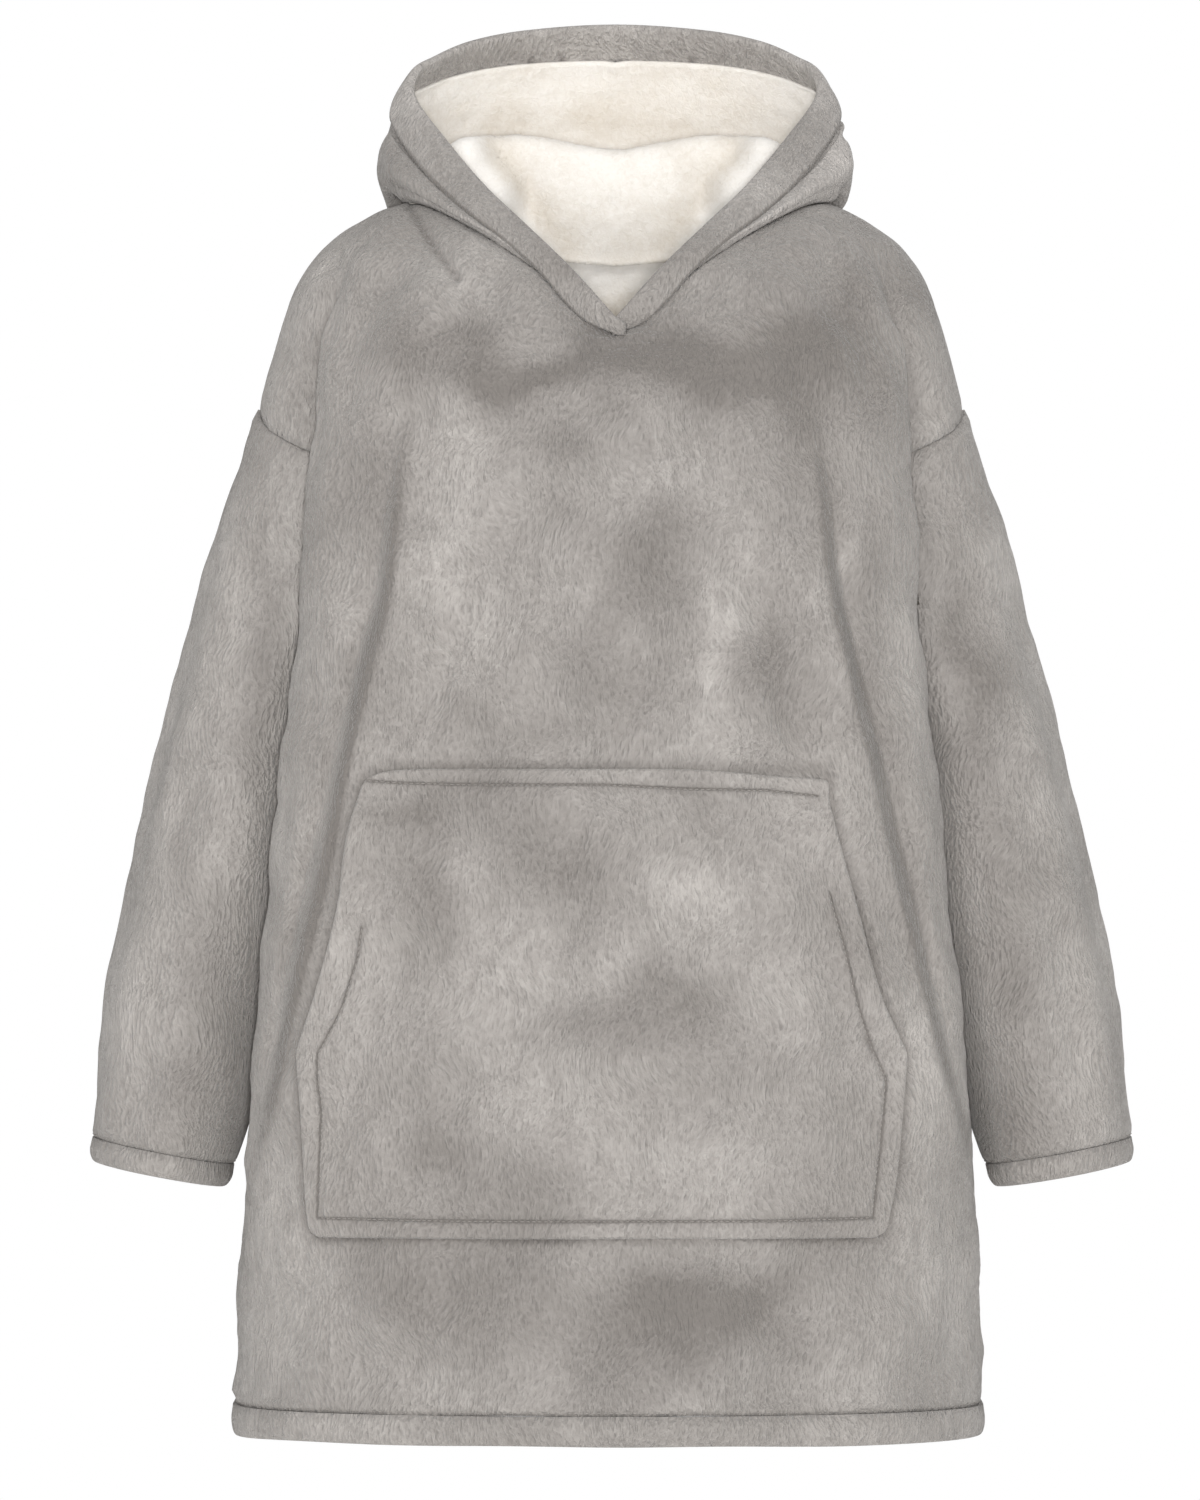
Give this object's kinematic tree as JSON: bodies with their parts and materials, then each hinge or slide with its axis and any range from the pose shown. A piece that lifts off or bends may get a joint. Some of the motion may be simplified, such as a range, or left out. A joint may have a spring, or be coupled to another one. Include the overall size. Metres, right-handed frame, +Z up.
{
  "type": "wearable blanket hoodie",
  "caption": "Oversized fleece blanket hoodie with long sleeves, a kangaroo pocket and a sherpa-lined hood, filled out and hollow.",
  "frame": {"origin": "midway between the high points of the shoulders, where a wearer carries the garment", "axes": "+Z up, -Y to the front, +X to the right as seen from the front (the wearer's left)"},
  "size_m": [0.77, 0.3911, 1.0258],
  "materials": {
    "fleece": "soft brushed nap",
    "sherpa": "deep soft pile"
  },
  "bodies": {
    "root": {"front": "fleece", "back": "fleece", "sleeve_right": "fleece", "cuff_right": "fleece", "sleeve_left": "fleece", "cuff_left": "fleece", "hem": "fleece", "pocket": "fleece", "hood_right": "fleece", "hood_left": "fleece", "hood_lining": "sherpa", "hood_band": "fleece"}
  },
  "joints": []
}
